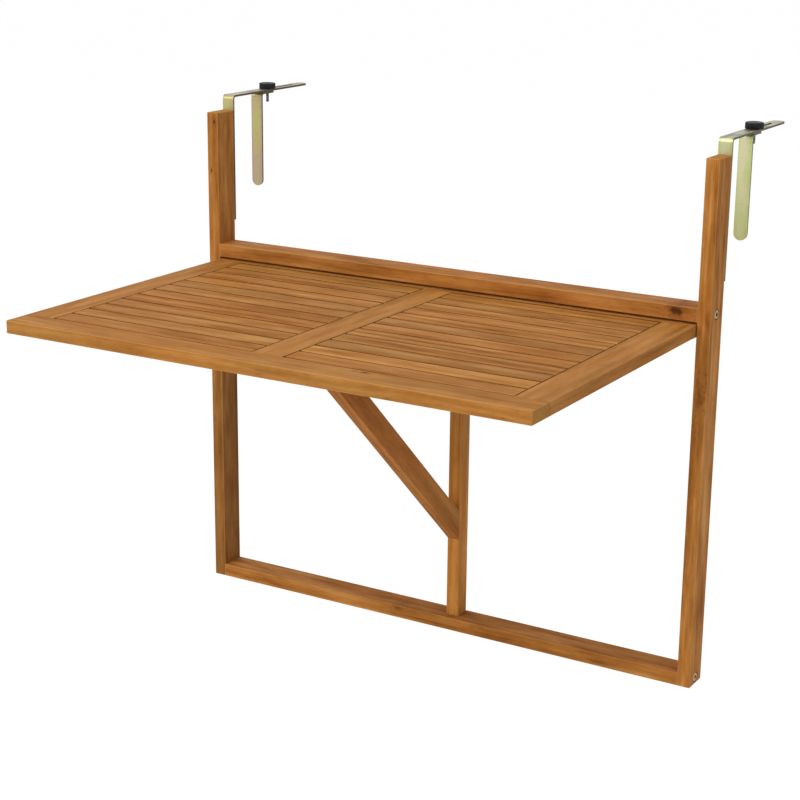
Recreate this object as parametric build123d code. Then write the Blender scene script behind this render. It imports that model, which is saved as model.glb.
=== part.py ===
from build123d import *
import math
import os

# A slatted table top on a timber frame that hangs from a balcony railing by two hooks.
# X runs along the railing, the top reaches towards -Y, +Z is up, sizes are in mm.
# The origin is midway between the hooks, on the railing's top edge:
# Y = 0 is the frame's back face and Z = 0 is the underside of the hook straps.

# Timber frame
UPRIGHT_WIDTH = 20.0
UPRIGHT_DEPTH = 42.0
UPRIGHT_HEIGHT = 760.0
INNER_WIDTH = 798.0
RAIL_HEIGHT = 20.0
UPPER_RAIL_RISE = 536.0
FRAME_EASE = 1.2
END_EASE = 0.8

# Table top
TOP_REACH = 488.0
TOP_THICKNESS = 18.0
TOP_SIDE_GAP = 1.5
TOP_RAIL_GAP = 3.2
FRONT_RAIL_WIDTH = 43.0
END_RAIL_WIDTH = 45.0
CENTRE_RAIL_WIDTH = 46.0
BACK_RAIL_SHOWN = 8.0
BACK_RAIL_HIDDEN = 16.0
TOP_EASE = 1.0
TOP_CORNER = 1.5
TENON_LENGTH = 10.0
TENON_WIDTH = 28.0
TENON_THICKNESS = 7.0
TENON_FIT = 0.1

# Slats
SLAT_COUNT = 12
SLAT_GAP = 4.5
SLAT_END_GAP = 2.0
SLAT_THICKNESS = 12.0
SLAT_EASE = 0.6
TONGUE_THICKNESS = 6.0
TONGUE_LENGTH = 8.0
TONGUE_FIT = 0.2

# Pivot pins of the top
PIVOT_DIAMETER = 5.0
PIVOT_RISE = 6.5
PIVOT_SETBACK = 7.5
PIVOT_IN_UPRIGHT = 14.0
PIVOT_IN_RAIL = 20.0
RUNNING_FIT = 0.05

# Gate: post and diagonal brace
GATE_OFFSET = 22.0
POST_WIDTH = 20.0
POST_DEPTH = 27.5
POST_SETBACK = 12.0
POST_HEADROOM = 8.0
GATE_EASE = 1.2
GATE_FLOAT = 0.3
BRACE_WIDTH = 34.0
BRACE_FOOT_RISE = 145.0
BRACE_ANGLE = 43.0
BRACE_EASE = 1.0
GATE_PIN_DIAMETER = 8.0
GATE_PIN_IN_POST = 25.0
GATE_PIN_IN_RAIL = 13.0

# Frame bolts
BOLT_HEAD_DIAMETER = 13.0
BOLT_HEAD_HEIGHT = 2.5
BOLT_HEAD_EASE = 0.8
BOLT_DIAMETER = 6.0
BOLT_IN_RAIL = 45.0
BOLT_RECESS_GAP = 1.5
BOLT_SUNK = 0.2
BOLT_SOCKET = 5.0
BOLT_SOCKET_DEPTH = 1.8

# Hook straps
STRAP_WIDTH = 20.0
STRAP_THICKNESS = 3.0
STRAP_RISE = 20.0
STRAP_REACH = 210.0
STRAP_DROP = 172.0
STRAP_BEND = 3.0
SLOT_NEAR = 96.0
SLOT_FAR = 180.0
SLOT_PLAY = 0.5

# Wood screws of the straps and the brace
SCREW_HEAD_DIAMETER = 8.0
SCREW_DIAMETER = 4.0
STRAP_SCREW_LENGTH = 28.0
STRAP_SCREW_INSET = 15.0
BRACE_SCREW_LENGTH = 50.0
BRACE_SCREW_INSET = 6.0
BRACE_SCREW_SPACING = 12.0

# Clamps
LEG_STANDOFF = 76.5
LEG_LENGTH = 149.0
STUD_REACH = 107.0
STUD_DIAMETER = 5.0
STUD_TAIL = 18.0
STUD_IN_KNOB = 6.5
KNOB_DIAMETER = 26.0
KNOB_HEIGHT = 9.0
KNOB_RIDGES = 36
KNURL_DEPTH = 0.6
KNOB_EASE = 1.0
SLIDE_FIT = 0.1

# Places worked out from the sizes above
FRONT = -UPRIGHT_DEPTH
HEAD = -STRAP_RISE
FOOT = HEAD - UPRIGHT_HEIGHT
INNER = INNER_WIDTH / 2
OUTER = INNER + UPRIGHT_WIDTH
HOOK_X = (INNER + OUTER) / 2
UPPER_RAIL_BOTTOM = FOOT + UPPER_RAIL_RISE
BOTTOM_RAIL_TOP = FOOT + RAIL_HEIGHT
RAIL_LEVELS = (FOOT, UPPER_RAIL_BOTTOM)

TOP_LEVEL = UPPER_RAIL_BOTTOM - TOP_RAIL_GAP
UNDERSIDE = TOP_LEVEL - TOP_THICKNESS
TOP_SIDE = INNER - TOP_SIDE_GAP
TOP_FRONT = FRONT - TOP_REACH
TOP_BACK = FRONT + BACK_RAIL_HIDDEN
PANEL_FRONT = TOP_FRONT + FRONT_RAIL_WIDTH
PANEL_BACK = FRONT - BACK_RAIL_SHOWN
PANEL_OUTER = TOP_SIDE - END_RAIL_WIDTH
PANEL_INNER = CENTRE_RAIL_WIDTH / 2
SLAT_WIDTH = (PANEL_BACK - PANEL_FRONT - (SLAT_COUNT + 1) * SLAT_GAP) / SLAT_COUNT
TONGUE_MIDDLE = TOP_LEVEL - SLAT_THICKNESS / 2
TENON_MIDDLE = TOP_LEVEL - TOP_THICKNESS / 2
END_RAIL_MIDDLE = TOP_SIDE - END_RAIL_WIDTH / 2
PIVOT_Y = FRONT + PIVOT_SETBACK
PIVOT_Z = UNDERSIDE + PIVOT_RISE

POST_FRONT = FRONT + POST_SETBACK
POST_BACK = POST_FRONT + POST_DEPTH
POST_AXIS_Y = (POST_FRONT + POST_BACK) / 2
POST_BOTTOM = BOTTOM_RAIL_TOP + GATE_FLOAT
POST_TOP = UNDERSIDE - POST_HEADROOM
BRACE_TOP = UNDERSIDE - GATE_FLOAT
BRACE_FOOT_LOW = FOOT + BRACE_FOOT_RISE
BRACE_FOOT_HIGH = BRACE_FOOT_LOW + BRACE_WIDTH / math.cos(math.radians(BRACE_ANGLE))
STRAP_TOP = STRAP_THICKNESS
LEG_TOP = -SLIDE_FIT
KNOB_BOTTOM = STRAP_TOP + SLIDE_FIT


def block(low, high):
    """A box between two corners."""
    size = [b - a for a, b in zip(low, high)]
    return Pos(*low) * Box(*size, align=(Align.MIN, Align.MIN, Align.MIN))


def bar(low, high, along, ease):
    """A box with the edges that run along one axis rounded."""
    solid = block(low, high)
    return fillet(solid.edges().filter_by(along), ease)


def rod(x, y, z, radius, length, direction):
    """A round rod that starts at a point and runs along a direction."""
    plane = Plane(origin=(x, y, z), z_dir=direction)
    return plane * Cylinder(radius, length, align=(Align.CENTER, Align.CENTER, Align.MIN))


def on_left(solid):
    """The mirror image of a right-hand piece."""
    return mirror(solid, about=Plane.YZ)


def save(node, *solids):
    """Writes one node, as a single solid or as a group of separate solids."""
    shape = solids[0] if len(solids) == 1 else Compound(children=list(solids))
    export_step(shape, f"parts/{node}.step")


# Frame

def bolt_places():
    """Centres of the bolts on the right upright's outer face."""
    return [(OUTER, FRONT / 2, level + RAIL_HEIGHT / 2) for level in RAIL_LEVELS]


def screw_places(hook_x):
    """Centres of the strap screws on the strap's back face."""
    heights = (HEAD - STRAP_SCREW_INSET, HEAD - STRAP_DROP + STRAP_SCREW_INSET)
    return [(hook_x, STRAP_THICKNESS, z) for z in heights]


def screw_sink(x, y, z):
    """The cone of a screw head that lies flush in a back face."""
    depth = (SCREW_HEAD_DIAMETER - SCREW_DIAMETER) / 2
    plane = Plane(origin=(x, y, z), z_dir=(0, -1, 0))
    base = (Align.CENTER, Align.CENTER, Align.MIN)
    return plane * Cone(SCREW_HEAD_DIAMETER / 2, SCREW_DIAMETER / 2, depth, align=base)


def wood_screw(place, length):
    """A countersunk wood screw, driven forwards from a back face."""
    return screw_sink(*place) + rod(*place, SCREW_DIAMETER / 2, length, (0, -1, 0))


def upright():
    """Right upright with its bolt recesses, pivot hole and strap screw holes."""
    body = bar((INNER, FRONT, FOOT), (OUTER, 0, HEAD), Axis.Z, FRAME_EASE)
    for end in (0, -1):
        body = chamfer(body.faces().sort_by(Axis.Z)[end].edges(), END_EASE)
    recess = BOLT_HEAD_HEIGHT + BOLT_SUNK
    for x, y, z in bolt_places():
        body -= rod(x, y, z, BOLT_HEAD_DIAMETER / 2 + BOLT_RECESS_GAP, recess, (-1, 0, 0))
        body -= rod(x, y, z, BOLT_DIAMETER / 2, UPRIGHT_WIDTH, (-1, 0, 0))
    body -= rod(INNER, PIVOT_Y, PIVOT_Z, PIVOT_DIAMETER / 2, PIVOT_IN_UPRIGHT, (1, 0, 0))
    for place in screw_places(HOOK_X):
        body -= rod(*place, SCREW_DIAMETER / 2, STRAP_SCREW_LENGTH, (0, -1, 0))
    return body


def frame_rail(level):
    """A rail between the uprights, bored at both ends for its bolts."""
    body = bar((-INNER, FRONT, level), (INNER, 0, level + RAIL_HEIGHT), Axis.X, FRAME_EASE)
    middle = level + RAIL_HEIGHT / 2
    for side in (-1, 1):
        body -= rod(side * INNER, FRONT / 2, middle, BOLT_DIAMETER / 2, BOLT_IN_RAIL, (-side, 0, 0))
    return body


def gate_hole(level, direction):
    """The blind hole of a gate pin in a frame rail."""
    radius = GATE_PIN_DIAMETER / 2 + RUNNING_FIT
    return rod(GATE_OFFSET, POST_AXIS_Y, level, radius, GATE_PIN_IN_RAIL + GATE_FLOAT, direction)


def frame_bolt(x, y, z):
    """A flat-headed bolt with a hexagon socket, sunk in the upright's outer face."""
    seat = x - BOLT_HEAD_HEIGHT - BOLT_SUNK
    head = rod(seat, y, z, BOLT_HEAD_DIAMETER / 2, BOLT_HEAD_HEIGHT, (1, 0, 0))
    head = chamfer(head.edges().sort_by(Axis.X)[-1], BOLT_HEAD_EASE)
    face = Plane(origin=(seat + BOLT_HEAD_HEIGHT, y, z), z_dir=(-1, 0, 0))
    socket = extrude(face * RegularPolygon(BOLT_SOCKET / 2, 6, major_radius=False), BOLT_SOCKET_DEPTH)
    shank = rod(seat, y, z, BOLT_DIAMETER / 2, seat - INNER + BOLT_IN_RAIL, (-1, 0, 0))
    return head + shank - socket


def pivot_pin():
    """Pin from the right upright into the end of the top's back rail."""
    length = PIVOT_IN_UPRIGHT + TOP_SIDE_GAP + PIVOT_IN_RAIL
    return rod(INNER + PIVOT_IN_UPRIGHT, PIVOT_Y, PIVOT_Z, PIVOT_DIAMETER / 2, length, (-1, 0, 0))


# Hooks

def slot_cutter(hook_x):
    """The long slot in a strap's arm."""
    radius = STUD_DIAMETER / 2 + SLOT_PLAY
    middle = (SLOT_NEAR + SLOT_FAR) / 2
    outline = SlotOverall(SLOT_FAR - SLOT_NEAR, 2 * radius, rotation=90)
    return Pos(hook_x, middle, 0) * extrude(outline, STRAP_TOP)


def bent_strap(upright_plate, level_plate, corner, inside, radius):
    """Two plates joined in an L, with a true bend at the corner that is given by its outside and inside."""
    body = upright_plate + level_plate
    body = fillet(cross_edges_at(body, inside), radius)
    return fillet(cross_edges_at(body, corner), radius + STRAP_THICKNESS)


def cross_edges_at(body, place):
    """The edges along X that pass through a place given by its Y and Z."""
    def near(edge):
        middle = edge.center()
        return math.hypot(middle.Y - place[0], middle.Z - place[1]) < 0.01
    return body.edges().filter_by(Axis.X).filter_by(near)


def hook_strap(hook_x):
    """Bent strap: a plate on the upright's back and a slotted arm with a round end."""
    half = STRAP_WIDTH / 2
    plate = block((hook_x - half, 0, HEAD - STRAP_DROP), (hook_x + half, STRAP_THICKNESS, STRAP_TOP))
    arm = block((hook_x - half, 0, 0), (hook_x + half, STRAP_REACH, STRAP_TOP))
    body = bent_strap(plate, arm, (0, STRAP_TOP), (STRAP_THICKNESS, 0), STRAP_BEND)
    tip = body.edges().filter_by(Axis.Z).group_by(Axis.Y)[-1]
    body = fillet(tip, half - 0.01)
    body -= slot_cutter(hook_x)
    for place in screw_places(hook_x):
        body -= wood_screw(place, STRAP_SCREW_LENGTH)
    return body


# Clamps

def clamp_leg(hook_x):
    """L-shaped leg: a foot under the strap's arm and a long leg with round ends."""
    half = STRAP_WIDTH / 2
    inside = (LEG_STANDOFF + STRAP_THICKNESS, LEG_TOP - STRAP_THICKNESS)
    foot = block((hook_x - half, LEG_STANDOFF, inside[1]), (hook_x + half, STUD_REACH + half, LEG_TOP))
    leg = block((hook_x - half, LEG_STANDOFF, -LEG_LENGTH), (hook_x + half, inside[0], LEG_TOP))
    body = bent_strap(leg, foot, (LEG_STANDOFF, LEG_TOP), inside, STRAP_BEND)
    foot_tip = body.edges().filter_by(Axis.Z).group_by(Axis.Y)[-1]
    body = fillet(foot_tip, half - 0.01)
    leg_tip = body.edges().filter_by(Axis.Y).group_by(Axis.Z)[0]
    body = fillet(leg_tip, half - 0.01)
    hole = STUD_DIAMETER / 2 + RUNNING_FIT
    return body - rod(hook_x, STUD_REACH, LEG_TOP, hole, STRAP_THICKNESS, (0, 0, -1))


def knurled_face(radius, level):
    """The knob's outline at a level, by turns on a ridge and in a groove."""
    points = []
    for step in range(2 * KNOB_RIDGES):
        reach = radius - (step % 2) * KNURL_DEPTH
        turn = math.pi * step / KNOB_RIDGES
        points.append((reach * math.cos(turn), reach * math.sin(turn)))
    return Pos(0, 0, level) * make_face(Polyline(*points, close=True))


def clamp_knob(hook_x):
    """Round knob with a knurled rim, an eased top and a blind hole for its stud."""
    radius = KNOB_DIAMETER / 2
    shoulder = KNOB_HEIGHT - KNOB_EASE
    body = extrude(knurled_face(radius, 0), shoulder)
    body += loft([knurled_face(radius, shoulder), knurled_face(radius - KNOB_EASE, KNOB_HEIGHT)], ruled=True)
    body -= rod(0, 0, 0, STUD_DIAMETER / 2, STUD_IN_KNOB, (0, 0, 1))
    return Pos(hook_x, STUD_REACH, KNOB_BOTTOM) * body


def clamp_stud(hook_x):
    """Stud from the knob down through the slot and the leg's foot."""
    top = KNOB_BOTTOM + STUD_IN_KNOB
    body = rod(hook_x, STUD_REACH, -STUD_TAIL, STUD_DIAMETER / 2, top + STUD_TAIL, (0, 0, 1))
    return chamfer(body.edges().sort_by(Axis.Z)[0], STUD_DIAMETER / 8)


# Gate

def brace_screws():
    """Two screws from the post's back face into the brace's foot."""
    high = BRACE_FOOT_HIGH - BRACE_SCREW_INSET
    heights = (high, high - BRACE_SCREW_SPACING)
    return [wood_screw((GATE_OFFSET, POST_BACK, z), BRACE_SCREW_LENGTH) for z in heights]


def gate_post():
    """Turning post, bored at both ends for the gate pins."""
    half = POST_WIDTH / 2
    low = (GATE_OFFSET - half, POST_FRONT, POST_BOTTOM)
    high = (GATE_OFFSET + half, POST_BACK, POST_TOP)
    body = bar(low, high, Axis.Z, GATE_EASE)
    for screw in brace_screws():
        body -= screw
    for level, direction in ((POST_BOTTOM, (0, 0, 1)), (POST_TOP, (0, 0, -1))):
        body -= rod(GATE_OFFSET, POST_AXIS_Y, level, GATE_PIN_DIAMETER / 2, GATE_PIN_IN_POST, direction)
    return body


def gate_brace():
    """Diagonal brace: an upright cut at the foot, a level cut under the top."""
    slope = math.tan(math.radians(BRACE_ANGLE))
    near = POST_FRONT - (BRACE_TOP - BRACE_FOOT_HIGH) / slope
    far = POST_FRONT - (BRACE_TOP - BRACE_FOOT_LOW) / slope
    foot = [(POST_FRONT, BRACE_FOOT_LOW), (POST_FRONT, BRACE_FOOT_HIGH)]
    face = make_face(Plane.YZ * Polyline(*foot, (near, BRACE_TOP), (far, BRACE_TOP), close=True))
    body = Pos(GATE_OFFSET, 0, 0) * extrude(face, POST_WIDTH / 2, both=True)
    long_edges = body.edges().sort_by(SortBy.LENGTH)[-4:]
    body = fillet(long_edges, BRACE_EASE)
    for screw in brace_screws():
        body -= screw
    return body


def gate_pins():
    """Pins at the foot and the head of the gate post."""
    foot_length = GATE_PIN_IN_POST + GATE_FLOAT + GATE_PIN_IN_RAIL
    head_length = GATE_PIN_IN_POST + UPPER_RAIL_BOTTOM - POST_TOP + GATE_PIN_IN_RAIL
    radius = GATE_PIN_DIAMETER / 2
    foot = rod(GATE_OFFSET, POST_AXIS_Y, POST_BOTTOM + GATE_PIN_IN_POST, radius, foot_length, (0, 0, -1))
    head = rod(GATE_OFFSET, POST_AXIS_Y, POST_TOP - GATE_PIN_IN_POST, radius, head_length, (0, 0, 1))
    return foot, head


# Table top

def groove(x, side):
    """The groove in a rail's inner face that takes the slats' tongues."""
    depth = TONGUE_LENGTH + TONGUE_FIT
    half = TONGUE_THICKNESS / 2 + TONGUE_FIT
    low_x, high_x = sorted((x, x + side * depth))
    return block((low_x, PANEL_FRONT, TONGUE_MIDDLE - half), (high_x, PANEL_BACK, TONGUE_MIDDLE + half))


def tenons(x, fit=0.0):
    """Stub tenons at both ends of a rail, or with a fit the two mortises that take them."""
    half_width = TENON_WIDTH / 2 + fit
    half_height = TENON_THICKNESS / 2 + fit
    reach = TENON_LENGTH + fit
    low = (x - half_width, PANEL_FRONT - reach, TENON_MIDDLE - half_height)
    high = (x + half_width, PANEL_BACK + reach, TENON_MIDDLE + half_height)
    return block(low, high)


def mortised(rail):
    """A front or back rail with the mortises of the end rails and the centre rail."""
    for x in (-END_RAIL_MIDDLE, 0, END_RAIL_MIDDLE):
        rail -= tenons(x, TENON_FIT)
    return rail


def front_rail():
    """Front rail of the top, full width, with rounded front corners."""
    body = block((-TOP_SIDE, TOP_FRONT, UNDERSIDE), (TOP_SIDE, PANEL_FRONT, TOP_LEVEL))
    corners = body.edges().filter_by(Axis.Z).group_by(Axis.Y)[0]
    body = fillet(corners, TOP_CORNER)
    inner_face = body.faces().sort_by(Axis.Y)[-1]
    outside = body.faces().filter_by(Axis.Z).edges() - inner_face.edges()
    return mortised(fillet(outside, TOP_EASE))


def back_rail():
    """Back rail of the top, bored at both ends for the pivot pins."""
    body = block((-TOP_SIDE, PANEL_BACK, UNDERSIDE), (TOP_SIDE, TOP_BACK, TOP_LEVEL))
    rear = body.edges().filter_by(Axis.X).group_by(Axis.Y)[-1]
    body = fillet(rear, TOP_EASE)
    radius = PIVOT_DIAMETER / 2 + RUNNING_FIT
    for side in (-1, 1):
        body -= rod(side * TOP_SIDE, PIVOT_Y, PIVOT_Z, radius, PIVOT_IN_RAIL + TOP_SIDE_GAP, (-side, 0, 0))
    return mortised(body)


def end_rail():
    """Right end rail of the top, tenoned at its ends and grooved for the slats."""
    body = block((PANEL_OUTER, PANEL_FRONT, UNDERSIDE), (TOP_SIDE, PANEL_BACK, TOP_LEVEL))
    outside = body.edges().filter_by(Axis.Y).group_by(Axis.X)[-1]
    body = fillet(outside, TOP_EASE) + tenons(END_RAIL_MIDDLE)
    return body - groove(PANEL_OUTER, 1)


def centre_rail():
    """Centre rail of the top, tenoned at its ends and grooved on both sides."""
    body = block((-PANEL_INNER, PANEL_FRONT, UNDERSIDE), (PANEL_INNER, PANEL_BACK, TOP_LEVEL)) + tenons(0)
    return body - groove(PANEL_INNER, -1) - groove(-PANEL_INNER, 1)


def slat(index):
    """A slat of the right panel, counted from the front, with a tongue at each end."""
    front = PANEL_FRONT + SLAT_GAP + index * (SLAT_WIDTH + SLAT_GAP)
    back = front + SLAT_WIDTH
    near = PANEL_INNER + SLAT_END_GAP
    far = PANEL_OUTER - SLAT_END_GAP
    board = block((near, front, TOP_LEVEL - SLAT_THICKNESS), (far, back, TOP_LEVEL))
    board = chamfer(board.edges().filter_by(Axis.X), SLAT_EASE)
    half = TONGUE_THICKNESS / 2
    tongue_low = (PANEL_INNER - TONGUE_LENGTH, front + SLAT_EASE, TONGUE_MIDDLE - half)
    tongue_high = (PANEL_OUTER + TONGUE_LENGTH, back - SLAT_EASE, TONGUE_MIDDLE + half)
    return board + block(tongue_low, tongue_high)


def main():
    """Builds every piece and writes one file for each node."""
    os.makedirs("parts", exist_ok=True)

    right = upright()
    save("right_upright", right)
    save("left_upright", on_left(right))
    save("upper_rail", frame_rail(UPPER_RAIL_BOTTOM) - gate_hole(UPPER_RAIL_BOTTOM, (0, 0, 1)))
    save("bottom_rail", frame_rail(FOOT) - gate_hole(BOTTOM_RAIL_TOP, (0, 0, -1)))
    bolts = [frame_bolt(*place) for place in bolt_places()]
    save("frame_bolts", *bolts, *[on_left(bolt) for bolt in bolts])
    save("pivot_pins", pivot_pin(), on_left(pivot_pin()))

    screws = []
    for side, hook_x in (("left", -HOOK_X), ("right", HOOK_X)):
        save(f"{side}_hook_strap", hook_strap(hook_x))
        save(f"{side}_clamp_leg", clamp_leg(hook_x))
        save(f"{side}_clamp_knob", clamp_knob(hook_x))
        save(f"{side}_clamp_stud", clamp_stud(hook_x))
        screws += [wood_screw(place, STRAP_SCREW_LENGTH) for place in screw_places(hook_x)]
    save("strap_screws", *screws)

    save("gate_post", gate_post())
    save("gate_brace", gate_brace())
    save("gate_pins", *gate_pins())
    save("brace_screws", *brace_screws())

    save("top_front_rail", front_rail())
    save("top_back_rail", back_rail())
    save("top_right_end_rail", end_rail())
    save("top_left_end_rail", on_left(end_rail()))
    save("top_centre_rail", centre_rail())
    for index in range(SLAT_COUNT):
        board = slat(index)
        save(f"right_slat_{index + 1:02d}", board)
        save(f"left_slat_{index + 1:02d}", on_left(board))


main()
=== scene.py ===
"""Looks of a folding balcony table: its finishes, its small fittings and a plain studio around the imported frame."""

import logging
import math
import random
from collections.abc import Callable, Sequence
from dataclasses import dataclass, field
from enum import Enum

import bpy
from mathutils import Euler, Matrix, Vector


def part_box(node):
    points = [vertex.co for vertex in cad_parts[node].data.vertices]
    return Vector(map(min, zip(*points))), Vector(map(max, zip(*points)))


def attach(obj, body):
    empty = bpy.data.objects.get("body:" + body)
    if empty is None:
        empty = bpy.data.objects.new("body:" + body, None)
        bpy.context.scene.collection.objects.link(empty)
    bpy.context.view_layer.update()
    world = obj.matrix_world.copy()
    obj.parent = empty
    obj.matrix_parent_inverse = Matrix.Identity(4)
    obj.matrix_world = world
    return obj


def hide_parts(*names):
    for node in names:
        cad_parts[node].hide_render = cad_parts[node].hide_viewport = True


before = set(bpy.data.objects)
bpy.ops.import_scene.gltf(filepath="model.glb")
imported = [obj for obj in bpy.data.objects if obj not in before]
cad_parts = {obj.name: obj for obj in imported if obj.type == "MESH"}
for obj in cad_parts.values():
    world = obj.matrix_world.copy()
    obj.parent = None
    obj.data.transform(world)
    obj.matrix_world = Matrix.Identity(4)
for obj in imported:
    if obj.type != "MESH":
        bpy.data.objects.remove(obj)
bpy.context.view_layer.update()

Colour = tuple[float, float, float]
Triple = tuple[float, float, float]
Span = tuple[float, float]
Stops = tuple[tuple[float, Colour], ...]
Feed = bpy.types.NodeSocket | float | Sequence[float]
Outline = Callable[[float], float]

MM = 0.001
FULL_TURN = 2.0 * math.pi
ROWS_PER_TURN = 8
LEFTWARDS: Triple = (-1.0, 0.0, 0.0)
RIGHTWARDS: Triple = (1.0, 0.0, 0.0)
FORWARDS: Triple = (0.0, -1.0, 0.0)
BACKWARDS: Triple = (0.0, 1.0, 0.0)
UPWARDS: Triple = (0.0, 0.0, 1.0)
WHITE = (1.0, 1.0, 1.0, 1.0)
log = logging.getLogger("balcony_table")


class Side(Enum):
    """The two hooks, as seen from the front of the table."""

    LEFT = "left"
    RIGHT = "right"


class Body(Enum):
    """The bodies that the bolts and screws ride on."""

    FRAME = "frame"
    GATE = "gate"


class Slot(Enum):
    """The names of the material slots."""

    TIMBER = "timber"
    PLATED_STEEL = "plated_steel"
    KNOB_PLASTIC = "knob_plastic"
    BRIGHT_STEEL = "bright_steel"


@dataclass(frozen=True)
class Mottle:
    """A layer of noise in a finish.

    Attributes:
        scale: Features per metre along each axis.
        detail: Octaves added to the first.
        rough: How strong each octave is beside the one before.
        span: The range of the noise that is stretched, if any.
        to: What that range is stretched to.
    """

    scale: Triple
    detail: float = 2.0
    rough: float = 0.5
    span: Span | None = None
    to: Span = (0.0, 1.0)


class NodeBench:
    """A node tree, with short calls for the nodes that the finishes and the studio share."""

    def __init__(self, tree: bpy.types.NodeTree) -> None:
        """Empties the tree.

        Args:
            tree: The tree to build in.
        """
        self.tree: bpy.types.NodeTree = tree
        self.tree.nodes.clear()

    def feed(self, socket: bpy.types.NodeSocket, value: Feed) -> None:
        """Links an output to a socket, or sets the socket's own value.

        Args:
            socket: The input to feed.
            value: An output socket, a number or a list of numbers.
        """
        if isinstance(value, bpy.types.NodeSocket):
            self.tree.links.new(value, socket)
        else:
            socket.default_value = value

    def node(self, kind: str, inputs: dict[str | int, Feed], **settings: object) -> bpy.types.Node:
        """Adds a node.

        Args:
            kind: The node's type, without the leading ShaderNode.
            inputs: What each input is fed, by name or number.
            **settings: The node's own properties.

        Returns:
            The new node.
        """
        made = self.tree.nodes.new("ShaderNode" + kind)
        for key, value in settings.items():
            setattr(made, key, value)
        for key, value in inputs.items():
            self.feed(made.inputs[key], value)
        return made

    def calc(self, operation: str, *values: Feed) -> bpy.types.NodeSocket:
        """Returns the result of a math operation on up to three values."""
        return self.node("Math", dict(enumerate(values)), operation=operation).outputs[0]

    def vector(self, operation: str, *values: Feed) -> bpy.types.NodeSocket:
        """Returns the vector result of a vector operation."""
        return self.node("VectorMath", dict(enumerate(values)), operation=operation).outputs["Vector"]

    def length(self, vector: Feed) -> bpy.types.NodeSocket:
        """Returns the length of a vector."""
        return self.node("VectorMath", {0: vector}, operation="LENGTH").outputs["Value"]

    def dot(self, one: Feed, other: Feed) -> bpy.types.NodeSocket:
        """Returns the dot product of two vectors."""
        return self.node("VectorMath", {0: one, 1: other}, operation="DOT_PRODUCT").outputs["Value"]

    def axes(self, vector: Feed) -> bpy.types.NodeOutputs:
        """Returns a vector's X, Y and Z."""
        return self.node("SeparateXYZ", {0: vector}).outputs

    def stretch(
        self, value: Feed, low: float, high: float, to_low: float = 0.0, to_high: float = 1.0
    ) -> bpy.types.NodeSocket:
        """Maps a range of values smoothly to another and clamps it there.

        Args:
            value: The value to map.
            low: The value that becomes to_low.
            high: The value that becomes to_high.
            to_low: The result at and before low.
            to_high: The result at and past high.

        Returns:
            The mapped value.
        """
        inputs = {"Value": value, "From Min": low, "From Max": high, "To Min": to_low, "To Max": to_high}
        return self.node("MapRange", inputs, interpolation_type="SMOOTHSTEP").outputs["Result"]

    def noise(self, vector: Feed, layer: Mottle) -> bpy.types.NodeSocket:
        """Makes a layer of noise.

        Args:
            vector: Where the noise is read.
            layer: The kind of noise.

        Returns:
            The noise, about a half on average before it is stretched.
        """
        place = self.vector("MULTIPLY", vector, layer.scale)
        inputs = {"Vector": place, "Scale": 1.0, "Detail": layer.detail, "Roughness": layer.rough}
        made = self.node("TexNoise", inputs).outputs["Fac"]
        return self.stretch(made, *layer.span, *layer.to) if layer.span else made

    def ramp(self, value: Feed, stops: Sequence[tuple[float, Colour]]) -> bpy.types.NodeSocket:
        """Maps a value to a colour.

        Args:
            value: The value, from 0 to 1.
            stops: Places and their colours, in rising order.

        Returns:
            The colour.
        """
        made = self.node("ValToRGB", {"Fac": value})
        elements = made.color_ramp.elements
        while len(elements) < len(stops):
            elements.new(1.0)
        for element, (place, colour) in zip(elements, stops):
            element.position = place
            element.color = (*colour, 1.0)
        return made.outputs["Color"]

    def mix(self, amount: Feed, base: Feed, other: Feed, blend: str = "MIX") -> bpy.types.NodeSocket:
        """Mixes two colours.

        Args:
            amount: How much of the other colour shows.
            base: The first colour.
            other: The second colour.
            blend: Blender's name of the way to mix.

        Returns:
            The mixed colour.
        """
        pair = [tuple(c) + (1.0,) if isinstance(c, tuple) else c for c in (base, other)]
        made = self.node("Mix", {0: amount, 6: pair[0], 7: pair[1]}, data_type="RGBA", blend_type=blend)
        return made.outputs[2]


class ShaderBench(NodeBench):
    """A new material's node tree."""

    def __init__(self, name: str) -> None:
        """Starts an empty material.

        Args:
            name: The material's name.
        """
        self.material: bpy.types.Material = bpy.data.materials.new(name)
        self.material.use_nodes = True
        super().__init__(self.material.node_tree)

    def coordinates(self) -> bpy.types.Node:
        """Adds the node of an object's own places and normals, in metres in the table's frame."""
        return self.node("TexCoord", {})

    def bump(self, height: Feed, depth: float, strength: float, arris: float) -> bpy.types.NodeSocket:
        """Makes a bumped normal over edges that are rounded a little.

        Args:
            height: The relief.
            depth: The relief's full depth in metres.
            strength: How much of the relief shows.
            arris: The radius that sharp edges look rounded by, in metres.

        Returns:
            The normal.
        """
        soft = self.node("Bevel", {"Radius": arris}, samples=4).outputs["Normal"]
        inputs = {"Height": height, "Distance": depth, "Strength": strength, "Normal": soft}
        return self.node("Bump", inputs).outputs["Normal"]

    def principled(self, inputs: dict[str | int, Feed]) -> bpy.types.Material:
        """Ends the tree in a surface shader.

        Args:
            inputs: What the shader's inputs are fed.

        Returns:
            The finished material.
        """
        shader = self.node("BsdfPrincipled", inputs)
        self.node("OutputMaterial", {"Surface": shader.outputs[0]})
        return self.material


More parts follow.
